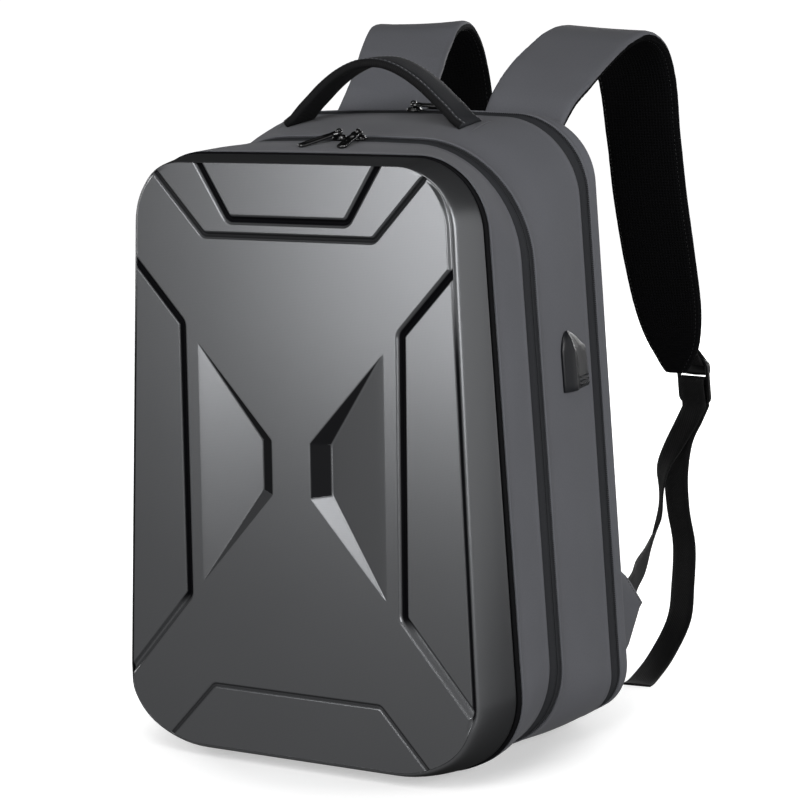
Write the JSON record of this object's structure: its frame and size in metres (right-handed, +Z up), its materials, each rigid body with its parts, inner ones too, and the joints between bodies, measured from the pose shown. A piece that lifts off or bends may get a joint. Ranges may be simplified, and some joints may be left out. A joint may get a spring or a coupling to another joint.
{
  "type": "backpack",
  "caption": "Backpack with a moulded hard front shell, gusseted fabric body, zips, carry handle, padded shoulder straps and a charging port on its side.",
  "frame": {"origin": "middle of the foot, on the surface the bag stands on", "axes": "+Z up through the bag; the moulded shell faces -Y and the shoulder straps are on the +Y side; +X is the side with the charging port"},
  "size_m": [0.3328, 0.4856, 0.5324],
  "materials": {
    "moulded_shell": "satin dark grey",
    "body_fabric": "matt woven",
    "zip_tape": "matt ribbed",
    "piping_welt": "matt",
    "strap_mesh": "matt mesh",
    "webbing": "woven",
    "moulded_plastic": "satin",
    "black_metal": "glossy black"
  },
  "bodies": {
    "bag": {"front_shell": "moulded_shell", "piping": "piping_welt", "front_gusset": "body_fabric", "front_zipper": "zip_tape", "middle_gusset": "body_fabric", "rear_zipper": "zip_tape", "rear_rim": "body_fabric", "back_panel": "strap_mesh", "carry_handle": "webbing", "usb_port": "moulded_plastic", "strap_right": "body_fabric", "holder_right": "webbing", "buckle_right": "moulded_plastic", "web_right": "webbing", "wing_right": "body_fabric", "strap_left": "body_fabric", "holder_left": "webbing", "buckle_left": "moulded_plastic", "web_left": "webbing", "wing_left": "body_fabric", "slider_left": "black_metal", "slider_right": "black_metal", "slider_rear": "black_metal"},
    "tab_left": {"pull_left": "black_metal"},
    "tab_right": {"pull_right": "black_metal"},
    "tab_rear": {"pull_rear": "black_metal"}
  },
  "joints": [
    {"name": "left_pull_swing", "type": "hinge", "parent": "bag", "child": "tab_left", "pos_m": [-0.004, -0.01318, 0.46473], "axis": [-0.9397, 0.3392, 0.0441], "range_deg": [0, 105]},
    {"name": "right_pull_swing", "type": "hinge", "parent": "bag", "child": "tab_right", "pos_m": [0.0125, -0.01318, 0.46473], "axis": [-0.9781, -0.2062, -0.0268], "range_deg": [0, 105]},
    {"name": "rear_pull_swing", "type": "hinge", "parent": "bag", "child": "tab_rear", "pos_m": [0.002, 0.08391, 0.47745], "axis": [0, -0.9937, -0.1118], "range_deg": [0, 150]}
  ]
}
